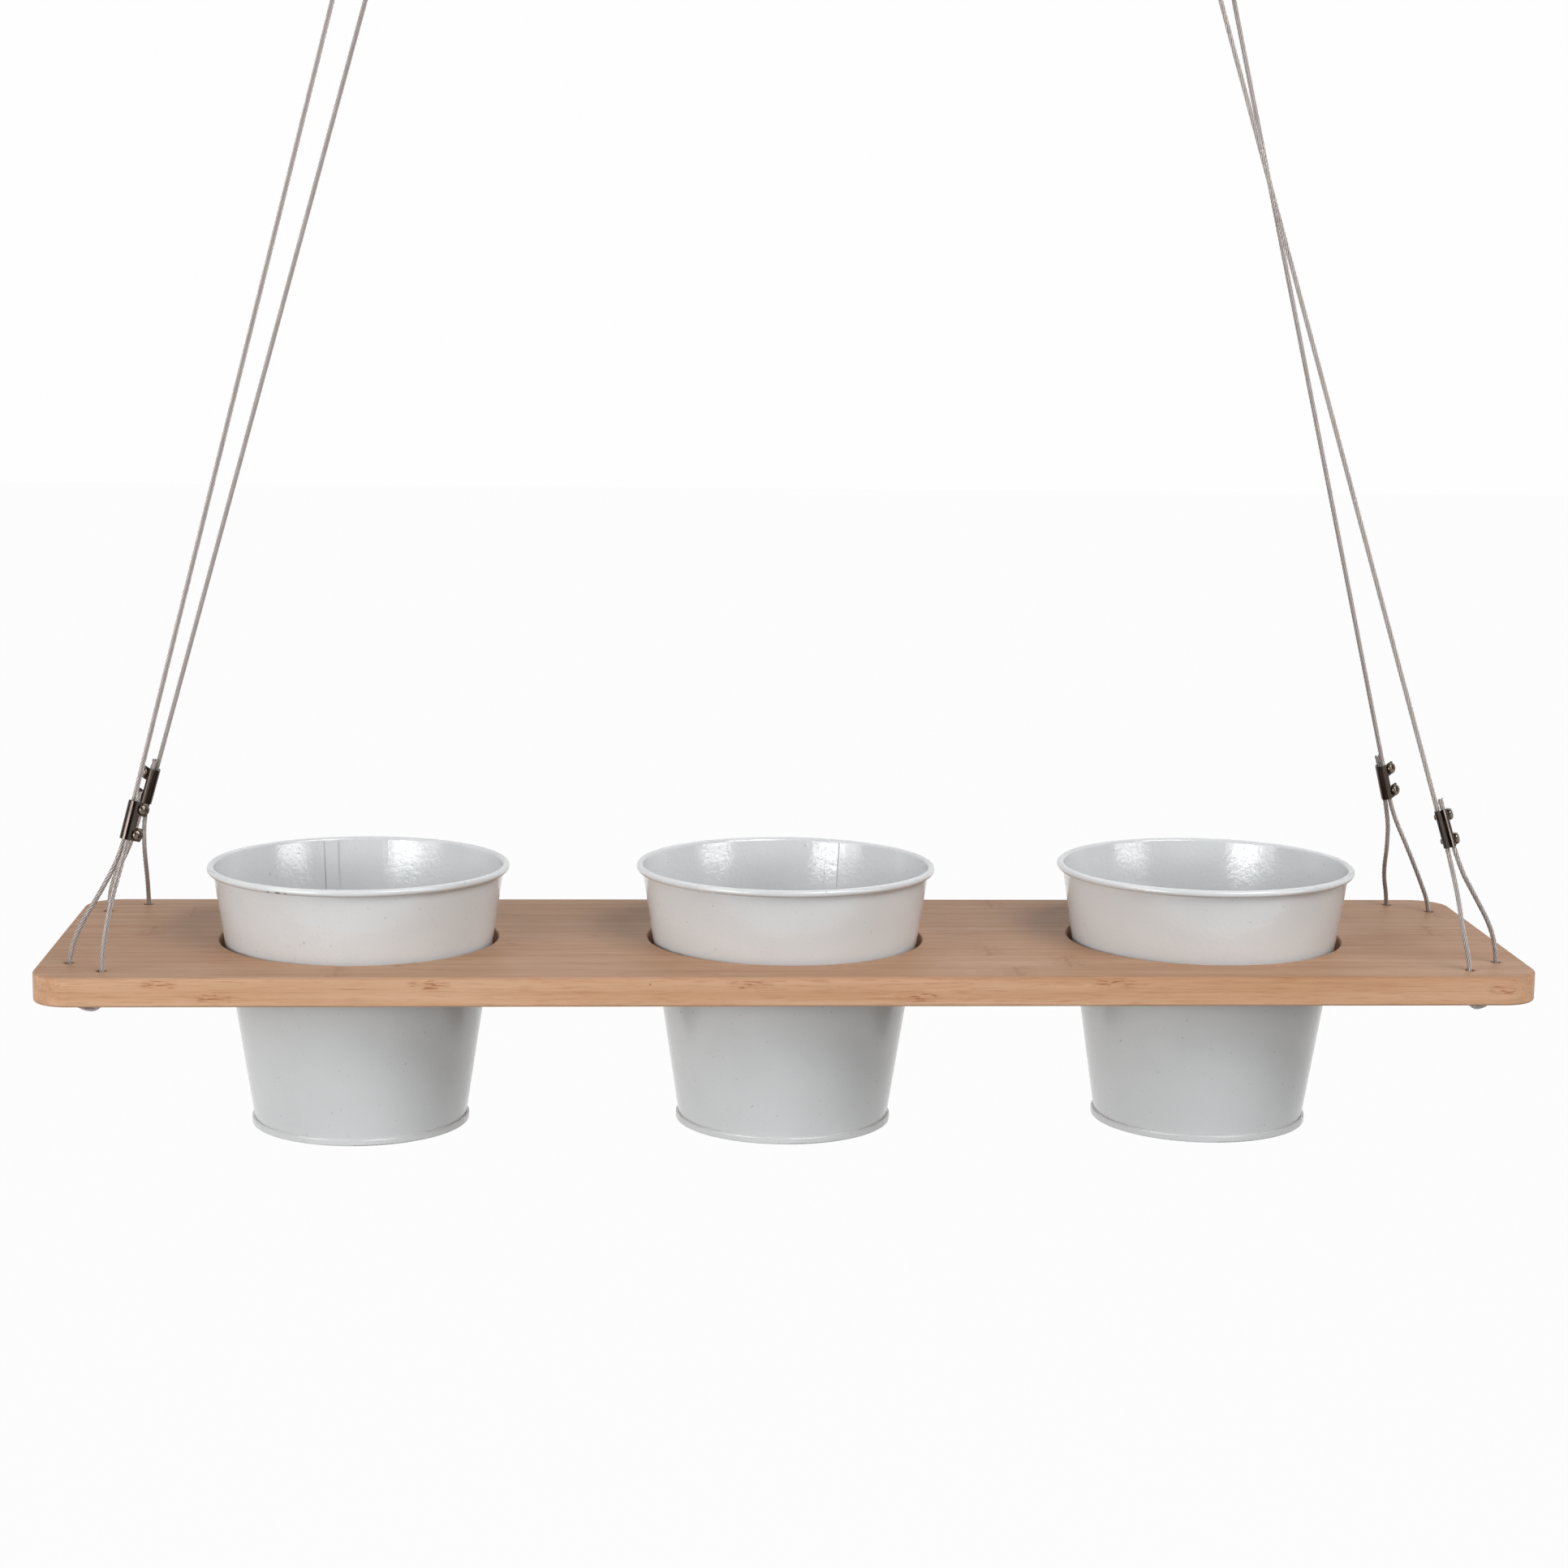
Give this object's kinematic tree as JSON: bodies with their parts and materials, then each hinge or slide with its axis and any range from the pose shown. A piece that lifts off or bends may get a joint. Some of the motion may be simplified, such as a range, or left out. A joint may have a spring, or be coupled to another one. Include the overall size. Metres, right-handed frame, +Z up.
{
  "type": "hanging herb planter",
  "caption": "Long rounded wooden board hung on clamped wire ropes, with tapered sheet-steel pots that drop into its round pockets and lift out.",
  "frame": {"origin": "midway between the two hanging rings, at the height where hooks bear on the inside of their top wires", "axes": "+X along the board, +Y from the front edge to the rear edge, +Z up"},
  "size_m": [0.6, 0.158, 0.5292],
  "materials": {
    "bamboo": "satin-lacquered bamboo with fine lengthwise grain",
    "powder_coat": "semi-gloss light grey powder coat",
    "steel_rope": "bright stranded wire",
    "plated_sheet": "bright nickel plate",
    "plated_screw": "bright nickel plate",
    "ferrule_alloy": "pressed aluminium",
    "ring_steel": "bright nickel-plated wire"
  },
  "bodies": {
    "hanging_rings": {"hanging_ring_left": "ring_steel", "hanging_ring_right": "ring_steel"},
    "shelf": {"shelf_board": "bamboo", "wire_rope_front_left": "steel_rope", "wire_rope_rear_left": "steel_rope", "wire_rope_front_right": "steel_rope", "wire_rope_rear_right": "steel_rope", "rope_clamp_front_left": "plated_sheet", "rope_clamp_rear_left": "plated_sheet", "rope_clamp_front_right": "plated_sheet", "rope_clamp_rear_right": "plated_sheet", "clamp_screws_front_left": "plated_screw", "clamp_screws_rear_left": "plated_screw", "clamp_screws_front_right": "plated_screw", "clamp_screws_rear_right": "plated_screw", "rope_ferrule_front_left": "ferrule_alloy", "rope_ferrule_rear_left": "ferrule_alloy", "rope_ferrule_front_right": "ferrule_alloy", "rope_ferrule_rear_right": "ferrule_alloy"},
    "pot_left": {"pot_wall_left": "powder_coat", "pot_base_left": "powder_coat"},
    "pot_middle": {"pot_wall_middle": "powder_coat", "pot_base_middle": "powder_coat"},
    "pot_right": {"pot_wall_right": "powder_coat", "pot_base_right": "powder_coat"}
  },
  "joints": [
    {"name": "shelf_swing", "type": "hinge", "parent": "hanging_rings", "child": "shelf", "pos_m": [0, 0, -0.0285], "axis": [1, 0, 0], "range_deg": [-25, 25]},
    {"name": "pot_left_lift", "type": "slide", "parent": "shelf", "child": "pot_left", "axis": [0, 0, 1], "range_m": [0, 0.115]},
    {"name": "pot_middle_lift", "type": "slide", "parent": "shelf", "child": "pot_middle", "axis": [0, 0, 1], "range_m": [0, 0.115]},
    {"name": "pot_right_lift", "type": "slide", "parent": "shelf", "child": "pot_right", "axis": [0, 0, 1], "range_m": [0, 0.115]}
  ]
}
